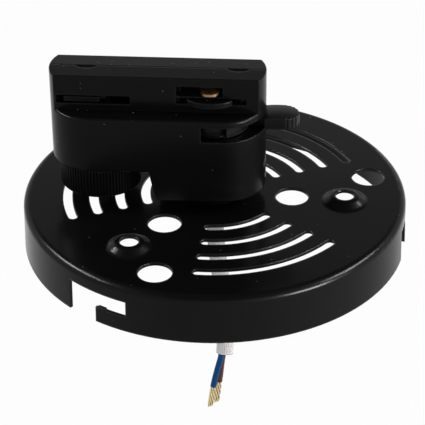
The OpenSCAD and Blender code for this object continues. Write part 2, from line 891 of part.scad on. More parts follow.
module knob_washer() {
    color("#a5a6a8")
        translate([knob_x, 0, knob_z + knob_recess_h - knob_washer_t])
            difference() {
                cylinder(r = knob_recess_r - sweep_clear, h = knob_washer_t);
                translate([0, 0, -over])
                    cylinder(r = screw_r + seat_clear, h = knob_washer_t + 2 * over);
            }
}

// Compression spring round the spindle, between the floor and the spindle's collar
module knob_spring() {
    sides = 8;
    steps = 14;
    count = spring_turns * steps + 1;
    wire = spring_wire / 2;
    low = shallow_floor_z + wire + run_clear;
    high = spring_collar_z - wire - sweep_clear;
    points = [
        for (k = [0 : count - 1], i = [0 : sides - 1])
            let (turn = 360 * k / steps, side = 360 * i / sides, r = spring_r + wire * cos(side))
                [r * cos(turn), r * sin(turn), low + (high - low) * k / (count - 1) + wire * sin(side)]
    ];
    start = [for (i = [0 : sides - 1]) i];
    finish = [for (i = [0 : sides - 1]) count * sides - 1 - i];
    color("#9a9b9d")
        translate([knob_x, 0, 0])
            polyhedron(points, concat([start], skin(0, count, sides, true), [finish]));
}

// Hollow threaded nipple that clamps the plate to the body
module threaded_nipple() {
    color("#9b9a94")
        translate([plate_x, 0, 0])
            difference() {
                post(0, nipple_r, nipple_bottom, nipple_top);
                post(0, nipple_bore_r, nipple_bottom - over, nipple_top + over);
            }
}

module lock_nut() {
    color("#9b9a94")
        hex_nut(deep_floor_z, lock_nut_t);
}

module spacer_collar() {
    color("#151516")
        translate([plate_x, 0, 0])
            difference() {
                post(0, collar_r, plate_z, -deep_h);
                post(0, nipple_r + seat_clear, plate_z - over, over - deep_h);
            }
}

module toothed_washer() {
    step = 360 / washer_teeth;
    notch = washer_r * sin(step / 4);
    color("#8f8f8c")
        translate([plate_x, 0, under_z - washer_t])
            difference() {
                cylinder(r = washer_r, h = washer_t);
                translate([0, 0, -over])
                    cylinder(r = nipple_r + run_clear, h = washer_t + 2 * over);
                for (k = [0 : washer_teeth - 1])
                    rotate(k * step)
                        translate([washer_r - 1.2, -notch / 2, -over])
                            cube([2 * over, notch, washer_t + 2 * over]);
            }
}

module canopy_nut() {
    color("#9b9a94")
        hex_nut(canopy_nut_z, canopy_nut_t);
}

module braided_sleeve() {
    color("#d9d6d2")
        hollow_cord(sleeve_route, sleeve_r, sleeve_r - sleeve_wall, 12);
}

module blue_lead() {
    color("#1d4f8c")
        cord(blue_route, lead_r, 8);
}

module brown_lead() {
    color("#5e3a33")
        cord(brown_route, lead_r, 8);
}

module blue_strands() {
    color("#c8a560")
        cord(blue_strand_route, strand_r, 8);
}

module brown_strands() {
    color("#c8a560")
        cord(brown_strand_route, strand_r, 8);
}

canopy_plate();
housing_front();
housing_rear();
housing_screws();
contact_rotor();
live_contact();
neutral_contact();
release_lever();
retaining_clip();
lock_knob();
lock_spindle();
knob_screw();
knob_washer();
knob_spring();
threaded_nipple();
lock_nut();
spacer_collar();
toothed_washer();
canopy_nut();
braided_sleeve();
blue_lead();
brown_lead();
blue_strands();
brown_strands();
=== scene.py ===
# %% [markdown]
# # A track light adapter on a round canopy plate
#
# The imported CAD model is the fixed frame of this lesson: every rigid piece comes from it at its
# true place, in metres. Blender adds what a solid can't say, which is the finish of each surface,
# the woven sleeve, the leads with their bare strands, and the thread of the hollow nipple.

# %% Load the frame
import math

import bmesh
import bpy
from mathutils import Matrix, Vector


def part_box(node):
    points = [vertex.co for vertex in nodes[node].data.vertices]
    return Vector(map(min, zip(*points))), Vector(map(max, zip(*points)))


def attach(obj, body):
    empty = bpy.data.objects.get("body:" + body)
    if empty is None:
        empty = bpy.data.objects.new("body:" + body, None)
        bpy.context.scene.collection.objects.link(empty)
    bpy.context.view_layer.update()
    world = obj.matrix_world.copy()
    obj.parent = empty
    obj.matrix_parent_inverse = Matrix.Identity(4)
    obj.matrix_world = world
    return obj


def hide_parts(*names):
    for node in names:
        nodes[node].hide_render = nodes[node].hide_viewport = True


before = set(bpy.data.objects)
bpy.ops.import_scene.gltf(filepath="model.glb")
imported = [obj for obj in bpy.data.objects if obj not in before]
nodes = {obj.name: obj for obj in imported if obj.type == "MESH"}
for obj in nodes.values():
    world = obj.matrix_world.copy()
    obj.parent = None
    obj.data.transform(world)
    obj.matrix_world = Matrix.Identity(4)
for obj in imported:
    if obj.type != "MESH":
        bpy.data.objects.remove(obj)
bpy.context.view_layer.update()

scene = bpy.context.scene

# %% [markdown]
# The part hangs from a track, so its origin is on the shoulder under the track. Two places are used
# again and again below: the axis of the canopy plate and the level of the plate's upper face. The
# collar that stands on the plate gives both.

# %% Find the plate's axis and face
MM = 0.001
collar_low, collar_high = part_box("spacer_collar")
plate_axis = (collar_low.x + collar_high.x) / 2
plate_face = collar_low.z
plate_middle = Vector((plate_axis, 0, plate_face))
print("plate axis at x =", round(plate_axis / MM, 2), "mm")
print("plate face at z =", round(plate_face / MM, 2), "mm")

# %% [markdown]
# ## Camera
#
# The photograph looks down on the part from the front and a little from the right, through a long
# lens that keeps the ellipses of the plate calm. A camera can be aimed by a constraint, but a matrix
# built from a few angles is exact and easy to read: walk round by the azimuth, look down by the
# elevation, then correct the aim by small turns.

# %% Place the camera
FRAME_PIXELS = 425
FOCAL_PIXELS = 1904.9
SENSOR_MM = 36
VIEW_AZIMUTH = 4.0
VIEW_ELEVATION = 31.411
VIEW_DISTANCE = 0.60253
AIM_RIGHT, AIM_UP, AIM_ROLL = -0.07, -0.66, -0.41
CLIP_END = 20


def add_object(name, data):
    thing = bpy.data.objects.new(name, data)
    scene.collection.objects.link(thing)
    return thing


def turn(degrees, axis):
    return Matrix.Rotation(math.radians(degrees), 4, axis)


camera = add_object("camera", bpy.data.cameras.new("camera"))
scene.camera = camera
camera.data.sensor_width = SENSOR_MM
camera.data.lens = SENSOR_MM * FOCAL_PIXELS / FRAME_PIXELS
camera.data.clip_end = CLIP_END
look = turn(VIEW_AZIMUTH, "Z") @ turn(90 - VIEW_ELEVATION, "X")
aim = look @ turn(-AIM_RIGHT, "Y") @ turn(AIM_UP, "X") @ turn(AIM_ROLL, "Z")
stand = plate_middle + look @ Vector((0, 0, VIEW_DISTANCE))
camera.matrix_world = Matrix.Translation(stand) @ aim
print("camera at", [round(v, 4) for v in stand], "lens", round(camera.data.lens, 1))

# %% [markdown]
# ## Floor and light
#
# The photograph has a plain white ground. The floor is one large square that lies below the hanging
# leads.

# %% Lay the floor
FLOOR_DROP = 0.16
FLOOR_HALF = 6.0

corners = [(-1, -1), (1, -1), (1, 1), (-1, 1)]
floor_points = [(x * FLOOR_HALF, y * FLOOR_HALF, -FLOOR_DROP) for x, y in corners]
floor_mesh = bpy.data.meshes.new("floor")
floor_mesh.from_pydata(floor_points, [], [(0, 1, 2, 3)])
floor = add_object("floor", floor_mesh)
print("floor at z =", -FLOOR_DROP)

# %% [markdown]
# Every material below is a small tree of nodes. Four helpers keep those trees short. The first sets
# the inputs of a node, or links them where the value is another node's output. The second adds a node
# whose kind is given without its "ShaderNode" prefix. The third adds one step of arithmetic, and the
# fourth starts a material.

# %% Helpers for node trees
def set_inputs(node, values):
    for label, value in values.items():
        if isinstance(value, bpy.types.NodeSocket):
            node.id_data.links.new(value, node.inputs[label])
        else:
            node.inputs[label].default_value = value


def add_node(tree, kind, values=None, **settings):
    node = tree.nodes.new("ShaderNode" + kind)
    for label, setting in settings.items():
        setattr(node, label, setting)
    set_inputs(node, values or {})
    return node


def math_node(tree, operation, *values):
    node = add_node(tree, "Math", dict(enumerate(values)), operation=operation)
    return node.outputs["Value"]


def start_look(name, values):
    material = bpy.data.materials.new(name)
    material.use_nodes = True
    shader = material.node_tree.nodes["Principled BSDF"]
    set_inputs(shader, values)
    return material, material.node_tree, shader


print("helpers ready")

# %% [markdown]
# The floor shows nearly white to the camera and in reflections. A small share of it is a real lit
# surface, so that a soft shadow is left.

# %% Paint the floor
FLOOR_PAINT = {"Base Color": (0.86, 0.86, 0.86, 1), "Roughness": 0.9, "Specular IOR Level": 0.1}
WHITE = (1, 1, 1, 1)
LIT_SHARE = 0.06

floor_look, tree, paint = start_look("pale_floor", FLOOR_PAINT)
path = add_node(tree, "LightPath")
seen = path.outputs["Is Camera Ray"]
for ray in ("Is Glossy Ray", "Is Transmission Ray"):
    seen = math_node(tree, "MAXIMUM", seen, path.outputs[ray])
glow_share = math_node(tree, "MULTIPLY", seen, 1 - LIT_SHARE)
glow = add_node(tree, "Emission", {"Color": WHITE}).outputs["Emission"]
blend = add_node(tree, "MixShader", {"Fac": glow_share, 1: paint.outputs["BSDF"], 2: glow})
set_inputs(tree.nodes["Material Output"], {"Surface": blend.outputs["Shader"]})
floor_mesh.materials.append(floor_look)
print("floor look:", floor_look.name, len(tree.nodes), "nodes")

# %% [markdown]
# A black object is drawn by what it mirrors. The photograph's tops are bright at the back and dark at
# the front, so the white surround ends at about the height from which the camera looks. The world
# copies that: it is pale near the horizon and falls off to a dim ceiling, between two angles above
# the horizon.

# %% Light the world
scene.view_settings.view_transform = "Standard"
SURROUND = 0.85
CEILING = 0.1
FALL_FROM, FALL_TO = 26, 38

world = bpy.data.worlds.new("studio")
scene.world = world
world.use_nodes = True
tree = world.node_tree
heading = add_node(tree, "TexCoord").outputs["Generated"]
height = add_node(tree, "SeparateXYZ", {"Vector": heading}).outputs["Z"]
fall = add_node(tree, "MapRange", {
    "Value": height,
    "From Min": math.sin(math.radians(FALL_FROM)),
    "From Max": math.sin(math.radians(FALL_TO)),
    "To Min": SURROUND,
    "To Max": CEILING,
}, interpolation_type="SMOOTHSTEP")
set_inputs(tree.nodes["Background"], {"Color": WHITE, "Strength": fall.outputs["Result"]})
print("world from", SURROUND, "to", CEILING)

# %% [markdown]
# Soft boxes at the left, the right and the right front light the part at a plain level, at which a
# colour shows about as it is written. The photograph also has long thin glints on rounded edges and a
# soft upright streak on the deep end, the mirror images of long studio lights. Raising the boxes until
# such a dark part shows them would burn out the pale sleeve. So two strips and one low box are hidden
# from diffuse rays: they show in gloss and leave the level of light alone. Each row gives a name, a
# place and a size in metres, and a power in watts.

# %% Set the lamps
BOXES = (
    ("left_box", (-1.1, 0.05, 0.8), (0.3, 0.3), 7),
    ("right_box", (1.12, 0.05, 0.82), (0.3, 0.3), 8),
    ("front_box", (1.1, -0.5, 0.12), (0.6, 0.3), 3.8),
)
GLOSS_ONLY = (
    ("left_strip", (-1.1, 0.0, 0.8), (1.0, 0.12), 26),
    ("right_strip", (1.12, 0.1, 0.82), (0.9, 0.12), 24),
    ("streak_box", (1.0, -0.7, 0.06), (0.5, 0.25), 38),
)


def soft_lamp(name, place, size, power):
    lamp = bpy.data.lights.new(name, "AREA")
    lamp.shape = "RECTANGLE"
    lamp.size, lamp.size_y = size
    lamp.energy = power
    holder = add_object(name, lamp)
    holder.location = place
    direction = plate_middle - holder.location
    holder.rotation_euler = direction.to_track_quat("-Z", "Y").to_euler()
    return holder


for row in BOXES:
    soft_lamp(*row)
for row in GLOSS_ONLY:
    soft_lamp(*row).visible_diffuse = False

# %% [markdown]
# ## Shared effects
#
# Moulded plastic, powder coat and plated metal all have fine grain, most of the black faces have
# caught some specks of dust, and the edges get a painted highlight. Each effect is built once as a
# node group and then placed in each material with its own scale and strength. The groups work in
# object coordinates, so they need no unwrapping.

# %% A helper for node groups
def new_group(name, inputs, outputs):
    group = bpy.data.node_groups.new(name, "ShaderNodeTree")
    kind = "NodeSocketFloat"
    for label, value in inputs.items():
        socket = group.interface.new_socket(label, in_out="INPUT", socket_type=kind)
        socket.default_value = value
    for label in outputs:
        group.interface.new_socket(label, in_out="OUTPUT", socket_type=kind)
    given = group.nodes.new("NodeGroupInput").outputs
    return group, given, group.nodes.new("NodeGroupOutput")


print("group helper ready")

# %% [markdown]
# Fine grain is two layers of noise: a small one for the tooth of the surface and a wide one that
# makes the sheen a little uneven, as on a real moulding.

# %% Build the grain group
grain, given, leave = new_group(
    "fine_grain",
    {"Tooth Scale": 4000.0, "Cloud Scale": 90.0, "Roughness": 0.4, "Spread": 0.1},
    ("Roughness", "Height", "Cloud"),
)
place = add_node(grain, "TexCoord").outputs["Object"]
tooth = add_node(grain, "TexNoise", {"Vector": place, "Scale": given["Tooth Scale"], "Detail": 2})
cloud = add_node(grain, "TexNoise", {"Vector": place, "Scale": given["Cloud Scale"], "Detail": 3})
swing = math_node(grain, "SUBTRACT", cloud.outputs["Fac"], 0.5)
swing = math_node(grain, "MULTIPLY", swing, given["Spread"])
set_inputs(leave, {
    "Roughness": math_node(grain, "ADD", swing, given["Roughness"]),
    "Height": tooth.outputs["Fac"],
    "Cloud": cloud.outputs["Fac"],
})
print("group:", grain.name, len(grain.nodes), "nodes")

# %% [markdown]
# Dust is a scatter of tiny pale specks. Voronoi cells give one point each, and only a share of the
# cells is allowed to show its speck, so that the scatter looks random. Dust settles on faces that look
# up, so the share shrinks as the surface turns away from the sky.

# %% Build the dust group
dust, given, leave = new_group(
    "dust_specks",
    {"Scale": 520.0, "Speck": 0.07, "Share": 0.03, "Upright Share": 0.2},
    ("Mask",),
)
place = add_node(dust, "TexCoord").outputs["Object"]
cells = add_node(dust, "TexVoronoi", {"Vector": place, "Scale": given["Scale"]})
pick = add_node(dust, "SeparateColor", {"Color": cells.outputs["Color"]})
facing = add_node(dust, "NewGeometry").outputs["Normal"]
upness = add_node(dust, "SeparateXYZ", {"Vector": facing})
settled = math_node(dust, "MAXIMUM", upness.outputs["Z"], given["Upright Share"])
allowed = math_node(dust, "MULTIPLY", settled, given["Share"])
near = math_node(dust, "LESS_THAN", cells.outputs["Distance"], given["Speck"])
chosen = math_node(dust, "LESS_THAN", pick.outputs["Red"], allowed)
set_inputs(leave, {"Mask": math_node(dust, "MULTIPLY", near, chosen)})
print("group:", dust.name, len(dust.nodes), "nodes")

# %% [markdown]
# Outer edges get a painted highlight: a paler colour with a metallic share, which stands in for the
# glints that rounded edges catch. The ambient occlusion node finds them when it looks inwards: short
# rays into the solid soon meet another face near an outer edge, and meet nothing elsewhere. A noise
# breaks the line up, so that the painted highlight is uneven.

# %% Build the painted edge highlight group
RAYS = 6
OPEN_FACE, OUTER_EDGE = 0.95, 0.6

edge_highlight_group, given, leave = new_group(
    "painted_edge_highlight",
    {"Radius": 0.0006, "Patch Scale": 700.0, "Amount": 0.5},
    ("Mask",),
)
place = add_node(edge_highlight_group, "TexCoord").outputs["Object"]
patches = add_node(edge_highlight_group, "TexNoise", {"Vector": place, "Scale": given["Patch Scale"], "Detail": 2})
inwards = add_node(edge_highlight_group, "AmbientOcclusion", {"Distance": given["Radius"]},
                   inside=True, only_local=True, samples=RAYS)
edge = add_node(edge_highlight_group, "MapRange", {
    "Value": inwards.outputs["AO"], "From Min": OPEN_FACE, "From Max": OUTER_EDGE,
})
broken = math_node(edge_highlight_group, "MULTIPLY", edge.outputs["Result"], patches.outputs["Fac"])
set_inputs(leave, {"Mask": math_node(edge_highlight_group, "MULTIPLY", broken, given["Amount"])})
print("group:", edge_highlight_group.name, len(edge_highlight_group.nodes), "nodes")

# %% [markdown]
# ## Black mouldings and the coated plate
#
# The adapter is black plastic with a satin surface and the plate is steel with a smoother black coat.
# Both are nearly as dark as black gets, so their form shows through gloss alone, and that gloss has
# two parts: a weak sharp one from the surface itself, and a wide haze over it, set as a thin rough
# coat. One function sets up both: a very dark colour with a faint cloud in it, the grain in roughness
# and bump, the painted highlight on the edges and the dust. A bevel node rounds the normal near each
# edge, which lets a black moulding show a thin bright line along its rims.

# %% The dark finish
DUST_COLOUR = (0.22, 0.22, 0.21, 1)
# Colour of the painted highlight along outer edges.
EDGE_HIGHLIGHT_COLOUR = (0.06, 0.06, 0.06, 1)
CLOUD_DEEP, CLOUD_PALE = (0.85, 0.85, 0.87), (1.15, 1.15, 1.17)
TOOTH_HEIGHT = 0.02 * MM
RIM_R = 0.45 * MM


def mix_colours(tree, share, first, second):
    node = add_node(tree, "Mix", {"Factor": share, "A": first, "B": second}, data_type="RGBA")
    return node.outputs["Result"]


def dark_finish(name, shade, rough, gloss, haze, haze_rough, tooth_scale, bump, dusty, highlight_amount,
                rim_r=RIM_R):
    material, tree, shader = start_look(name, {
        "Specular IOR Level": gloss, "Coat Weight": haze, "Coat Roughness": haze_rough,
    })
    surface = add_node(tree, "Group", {"Tooth Scale": tooth_scale, "Roughness": rough},
                       node_tree=grain).outputs
    # Outer edges get a paler, partly metallic colour: a painted highlight for their glints.
    edge_highlight = add_node(tree, "Group", {"Amount": highlight_amount}, node_tree=edge_highlight_group).outputs["Mask"]
    specks = add_node(tree, "Group", {"Share": dusty}, node_tree=dust).outputs["Mask"]
    deep, pale = [(*[shade * c for c in tint], 1) for tint in (CLOUD_DEEP, CLOUD_PALE)]
    colour = mix_colours(tree, surface["Cloud"], deep, pale)
    colour = mix_colours(tree, edge_highlight, colour, EDGE_HIGHLIGHT_COLOUR)
    colour = mix_colours(tree, specks, colour, DUST_COLOUR)
    rim = add_node(tree, "Bevel", {"Radius": rim_r}, samples=RAYS).outputs["Normal"]
    relief = add_node(tree, "Bump", {
        "Strength": bump, "Distance": TOOTH_HEIGHT, "Height": surface["Height"], "Normal": rim,
    })
    set_inputs(shader, {
        "Base Color": colour, "Metallic": edge_highlight, "Roughness": surface["Roughness"],
        "Normal": relief.outputs["Normal"],
    })
    return material


print("dark finish ready")

# %% [markdown]
# Six blacks come from that one recipe. The shell is satin and dusty, the lever has the most gloss,
# because thumbs polish it, and the ridged knob is dull. The collar is kept dark and almost without
# gloss as painted shade, so that it reads as the shadow between body and plate. The plate's edges are
# pressed from sheet, and rounder than a moulding's. Each black sets its own share of painted edge
# highlight.

# %% Mix the blacks
PRESSED_R = 0.7 * MM

shell_plastic = dark_finish(
    "shell_plastic", shade=0.002, rough=0.22, gloss=0.05, haze=0.05, haze_rough=0.52,
    tooth_scale=3800, bump=0.25, dusty=0.6, highlight_amount=0.3,
)
rotor_plastic = dark_finish(
    "rotor_plastic", shade=0.002, rough=0.25, gloss=0.045, haze=0.04, haze_rough=0.55,
    tooth_scale=4200, bump=0.3, dusty=0.2, highlight_amount=0.3,
)
lever_plastic = dark_finish(
    "lever_plastic", shade=0.003, rough=0.25, gloss=0.11, haze=0.05, haze_rough=0.55,
    tooth_scale=4200, bump=0.3, dusty=0.3, highlight_amount=0.3,
)
knob_plastic = dark_finish(
    "knob_plastic", shade=0.0015, rough=0.35, gloss=0.03, haze=0.02, haze_rough=0.55,
    tooth_scale=4200, bump=0.3, dusty=0.04, highlight_amount=0.1,
)
# Darker and almost glossless: painted shade for the shadow between body and plate.
shaded_collar_plastic = dark_finish(
    "shaded_collar_plastic", shade=0.0015, rough=0.6, gloss=0.006, haze=0.004, haze_rough=0.6,
    tooth_scale=4200, bump=0.3, dusty=0.0, highlight_amount=0.05,
)
powder_coat = dark_finish(
    "powder_coat", shade=0.002, rough=0.2, gloss=0.072, haze=0.045, haze_rough=0.5,
    tooth_scale=2600, bump=0.12, dusty=0.14, highlight_amount=0.7, rim_r=PRESSED_R,
)
print("blacks:", shell_plastic.name, rotor_plastic.name, lever_plastic.name, knob_plastic.name,
      shaded_collar_plastic.name, powder_coat.name)

# %% [markdown]
# ## Plated steel and copper
#
# The screws, spring, nuts and nipple are bare or zinc-plated steel, and the contacts are copper alloy.
# Metal needs little more than its colour and an uneven roughness. The grain group gives both the
# unevenness and a faint bump. The contacts get a greyer colour along their rims, a painted highlight
# for the pale rims they show. The gaps between the strands of a lead are painted darker, as painted
# shade, and an ambient occlusion node that looks outwards finds those gaps.

# %% The metal finish
METAL_CLOUDS = 400
METAL_DULL = 0.8
METAL_BUMP = 0.15
# Strength of the painted highlight on metal rims.
METAL_HIGHLIGHT = 1.8
# Reach and strength of the painted shade between strands.
GAP_SHADE_R = 0.4 * MM
GAP_SHADE_CONTRAST = 2


def clouded(tree, surface, colour, dull):
    return mix_colours(tree, surface["Cloud"], (*[c * dull for c in colour], 1), (*colour, 1))


def metal_finish(name, colour, rough, spread, tooth_scale, edge_highlight=None, gap_shade=None):
    material, tree, shader = start_look(name, {"Metallic": 1})
    surface = add_node(tree, "Group", {
        "Tooth Scale": tooth_scale, "Cloud Scale": METAL_CLOUDS, "Roughness": rough, "Spread": spread,
    }, node_tree=grain).outputs
    shown = clouded(tree, surface, colour, METAL_DULL)
    # Greyer colour along the rims: a painted highlight.
    if edge_highlight:
        edges = add_node(tree, "Group", {"Amount": METAL_HIGHLIGHT}, node_tree=edge_highlight_group)
        shown = mix_colours(tree, edges.outputs["Mask"], shown, (*edge_highlight, 1))
    # Darker colour in the gaps between strands: painted shade.
    if gap_shade:
        around = add_node(tree, "AmbientOcclusion", {"Distance": GAP_SHADE_R}, only_local=True, samples=RAYS)
        unshaded_share = math_node(tree, "POWER", around.outputs["AO"], GAP_SHADE_CONTRAST)
        shown = mix_colours(tree, unshaded_share, (*gap_shade, 1), shown)
    relief = add_node(tree, "Bump", {
        "Strength": METAL_BUMP, "Distance": TOOTH_HEIGHT, "Height": surface["Height"],
    })
    set_inputs(shader, {
        "Base Color": shown, "Roughness": surface["Roughness"], "Normal": relief.outputs["Normal"],
    })
    return material


print("metal finish ready")

# %% [markdown]
# Four metals come from it. The zinc plate is the most uneven, and the drawn strands are the smoothest.

# %% Mix the metals
plain_steel = metal_finish(
    "plain_steel", (0.5, 0.5, 0.52), rough=0.35, spread=0.2, tooth_scale=2500,
)
zinc_plate = metal_finish(
    "zinc_plate", (0.58, 0.57, 0.53), rough=0.38, spread=0.25, tooth_scale=1800,
)
# The contacts' greyer rims are a painted highlight.
copper_alloy = metal_finish(
    "copper_alloy", (0.4, 0.19, 0.07), rough=0.3, spread=0.2, tooth_scale=2500,
    edge_highlight=(0.19, 0.145, 0.11),
)
# The strands' dark gaps are painted shade.
bare_strands = metal_finish(
    "bare_strands", (0.8, 0.66, 0.38), rough=0.2, spread=0.2, tooth_scale=3000,
    gap_shade=(0.12, 0.07, 0.02),
)
print("metals:", plain_steel.name, zinc_plate.name, copper_alloy.name, bare_strands.name)

# %% [markdown]
# Each CAD node keeps its mesh and gets a finish. The solids are already true to the part, so nothing
# is added to them. A table of finish and nodes is the plainest way to dress them all.

# %% Dress the CAD nodes
FINISHES = (
    (powder_coat, ("canopy_plate",)),
    (shell_plastic, ("housing_front", "housing_rear")),
    (rotor_plastic, ("contact_rotor", "lock_spindle")),
    (lever_plastic, ("release_lever",)),
    (knob_plastic, ("lock_knob",)),
    (shaded_collar_plastic, ("spacer_collar",)),
    (plain_steel, ("housing_screws", "retaining_clip", "knob_screw", "knob_washer", "knob_spring")),
    (zinc_plate, ("threaded_nipple", "lock_nut", "toothed_washer", "canopy_nut")),
    (copper_alloy, ("live_contact", "neutral_contact")),
)

for finish, names in FINISHES:
    for name in names:
        nodes[name].data.materials.clear()
        nodes[name].data.materials.append(finish)
    print(finish.name, "on", ", ".join(names))

# %% [markdown]
# ## Sleeve and leads
#
# Two insulated leads leave the adapter through the hollow nipple inside a woven sleeve, and end in
# bare strands. The routes are the ones the solids follow, in millimetres from the plate's axis and
# face. A smooth curve through those points takes out the corners.

# %% The routes
SLEEVE_ROUTE = [
    (0, 0, 10), (0, 0, 2), (0, 0, -6), (0, 0, -12), (0.3, 0, -18), (0.8, 0, -24),
    (1.4, 0.1, -30), (2, 0.1, -36), (2.5, 0.2, -42), (2.9, 0.2, -48), (3.1, 0.2, -54),
    (3.1, 0.2, -60), (2.9, 0.2, -64.2),
]
BLUE_ROUTE = [
    (-1.1, -1, 32), (-1, -1, 27), (-0.9, -0.9, 22), (-0.8, -0.8, 16), (-0.8, -0.8, 10),
    (-0.8, -0.8, 2), (-0.8, -0.8, -6), (-0.8, -0.8, -12), (-0.5, -0.8, -18), (0, -0.8, -24),
    (0.6, -0.7, -30), (1.2, -0.7, -36), (1.7, -0.6, -42), (2.1, -0.6, -48), (2.3, -0.6, -54),
    (2.2, -0.6, -60), (1.75, -0.65, -64.6), (0.72, -0.9, -69), (-0.15, -1, -73),
    (-0.85, -1.1, -76.6),
]
BROWN_ROUTE = [
    (-0.5, 1.3, 32), (-0.4, 1.3, 27), (0, 1.2, 22), (0.4, 1.1, 16), (0.4, 1.1, 10),
    (0.4, 1.1, 2), (0.4, 1.1, -6), (0.4, 1.1, -12), (0.7, 1.1, -18), (1.2, 1.1, -24),
    (1.8, 1.2, -30), (2.4, 1.2, -36), (2.9, 1.3, -42), (3.2, 1.3, -48), (3.3, 1.3, -54),
    (3.2, 1.3, -60), (2.3, 1.4, -64.6), (1.75, 1.4, -69), (1.35, 1.4, -73), (1, 1.4, -76.2),
]
SLEEVE_STEPS, LEAD_STEPS = 6, 4


def smooth_route(route, steps):
    points = [plate_middle + Vector(p) * MM for p in route]
    ends = [2 * points[0] - points[1]] + points + [2 * points[-1] - points[-2]]
    line = []
    for before, start, stop, after in zip(ends, ends[1:], ends[2:], ends[3:]):
        square = 2 * before - 5 * start + 4 * stop - after
        cube = 3 * start - before - 3 * stop + after
        for k in range(steps):
            t = k / steps
            line.append(start + ((stop - before) * t + square * t ** 2 + cube * t ** 3) / 2)
    return line + [points[-1]]


def route_length(line):
    return sum((b - a).length for a, b in zip(line, line[1:]))


sleeve_line = smooth_route(SLEEVE_ROUTE, SLEEVE_STEPS)
blue_line = smooth_route(BLUE_ROUTE, LEAD_STEPS)
brown_line = smooth_route(BROWN_ROUTE, LEAD_STEPS)
for name, line in (("sleeve", sleeve_line), ("blue", blue_line), ("brown", brown_line)):
    print(name, "route", round(route_length(line) / MM, 1), "mm")

# %% [markdown]
# The sleeve is a thin woven tube. Its yarns are only a pixel or two wide, so the weave is a bump and
# not a mesh, and for that the tube needs texture coordinates that run round it and along it. A tube
# that is built ring by ring gets those coordinates for nothing. The nipple's thread is made of rings
# too, so the same helpers serve both.

# %% Helpers for pieces made of rings
def round_point(share):
    angle = 2 * math.pi * share
    return Vector((math.cos(angle), math.sin(angle), 0))


def ring_round(middle, radius, sides):
    return [middle + radius * round_point(i / sides) for i in range(sides)]


def join_rings(work, rings):
    faces = []
    for k, ring in enumerate(rings):
        following = rings[(k + 1) % len(rings)]
        for i in range(len(ring)):
            j = (i + 1) % len(ring)
            faces.append((k, i, work.faces.new((ring[i], following[i], following[j], ring[j]))))
    return faces


def mesh_piece(name, work):
    work.normal_update()
    bmesh.ops.recalc_face_normals(work, faces=work.faces)
    mesh = bpy.data.meshes.new(name)
    work.to_mesh(mesh)
    work.free()
    return add_object(name, mesh)


print("ring helpers ready")

# %% [markdown]
# The tube's rings go down the outer wall and back up the inner one, which makes the cut end a real
# edge. The real sleeve was cut off at a slant, so the last rings lean over and rise a little. The lean
# fades in, so that the weave above it stays straight.

# %% Build the sleeve
SLEEVE_R = 2.8 * MM
SLEEVE_WALL = 0.25 * MM
SLEEVE_SIDES = 40
CUT_SLANT = Vector((0.1, 0.5, 0))
CUT_RISE = 0.46 * MM
CUT_RINGS = 12


def leaning_ring(middle, radius, sides, lean):
    return [v + Vector((0, 0, lean * (CUT_RISE - CUT_SLANT.dot(v - middle))))
            for v in ring_round(middle, radius, sides)]


def sleeve_tube(name, line, radius, inner, sides):
    leans = [max(0, 1 - (len(line) - 1 - k) / CUT_RINGS) for k in range(len(line))]
    down = list(zip(line, leans))
    stops = [(p, radius, lean) for p, lean in down] + [(p, inner, lean) for p, lean in down[::-1]]
    work = bmesh.new()
    uv = work.loops.layers.uv.new("weave")
    rings = [[work.verts.new(v) for v in leaning_ring(p, r, sides, lean)] for p, r, lean in stops]
    runs = [0]
    for (start, _, _), (stop, _, _) in zip(stops, stops[1:] + stops[:1]):
        runs.append(runs[-1] + (stop - start).length / (2 * math.pi * radius))
    for k, i, face in join_rings(work, rings):
        face.smooth = True
        for loop, (du, dv) in zip(face.loops, ((0, 0), (0, 1), (1, 1), (1, 0))):
            loop[uv].uv = ((i + du) / sides, runs[k + dv])
    return mesh_piece(name, work)


sleeve = sleeve_tube("woven_sleeve", sleeve_line, SLEEVE_R, SLEEVE_R - SLEEVE_WALL, SLEEVE_SIDES)
print(sleeve.name, len(sleeve.data.polygons), "faces")

# %% [markdown]
# The braid is two sets of yarns that cross at a slant. Two waves, one leaning each way, are multiplied
# into a field of small lozenges, a little longer than wide: high where a yarn lies on top and low in
# the gaps between them. The same field darkens the colour in the gaps, which is painted shade.

# %% Weave the sleeve
YARNS_ROUND = 14
YARN_STRETCH = 0.76
YARN_LIGHT = (0.83, 0.8, 0.795, 1)
# Colour of the gaps between yarns: painted shade.
YARN_GAP_SHADE = (0.46, 0.435, 0.43, 1)
YARN_BUMP = 0.8
YARN_HEIGHT = 0.12 * MM

braid, tree, shader = start_look("off_white_braid", {"Roughness": 0.75, "Sheen Weight": 0.2})
around = add_node(tree, "TexCoord").outputs["UV"]
axes = add_node(tree, "SeparateXYZ", {"Vector": around}).outputs
waves = []
for lean in (1, -1):
    slant = math_node(tree, "MULTIPLY", axes["Y"], lean * YARN_STRETCH)
    phase = math_node(tree, "ADD", axes["X"], slant)
    angle = math_node(tree, "MULTIPLY", phase, 2 * math.pi * YARNS_ROUND)
    waves.append(math_node(tree, "SINE", angle))
weave = math_node(tree, "MULTIPLY_ADD", math_node(tree, "MULTIPLY", *waves), 0.5, 0.5)
relief = add_node(tree, "Bump", {"Strength": YARN_BUMP, "Distance": YARN_HEIGHT, "Height": weave})
# The colour darkens into the gaps between yarns: painted shade.
set_inputs(shader, {
    "Base Color": mix_colours(tree, weave, YARN_GAP_SHADE, YARN_LIGHT), "Normal": relief.outputs["Normal"],
})
sleeve.data.materials.append(braid)
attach(sleeve, "adapter")
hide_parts("braided_sleeve")
nipple_low, nipple_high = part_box("threaded_nipple")
print("braid on", sleeve.name, "leaving the nipple at z =", round(nipple_low.z / MM, 2), "mm")

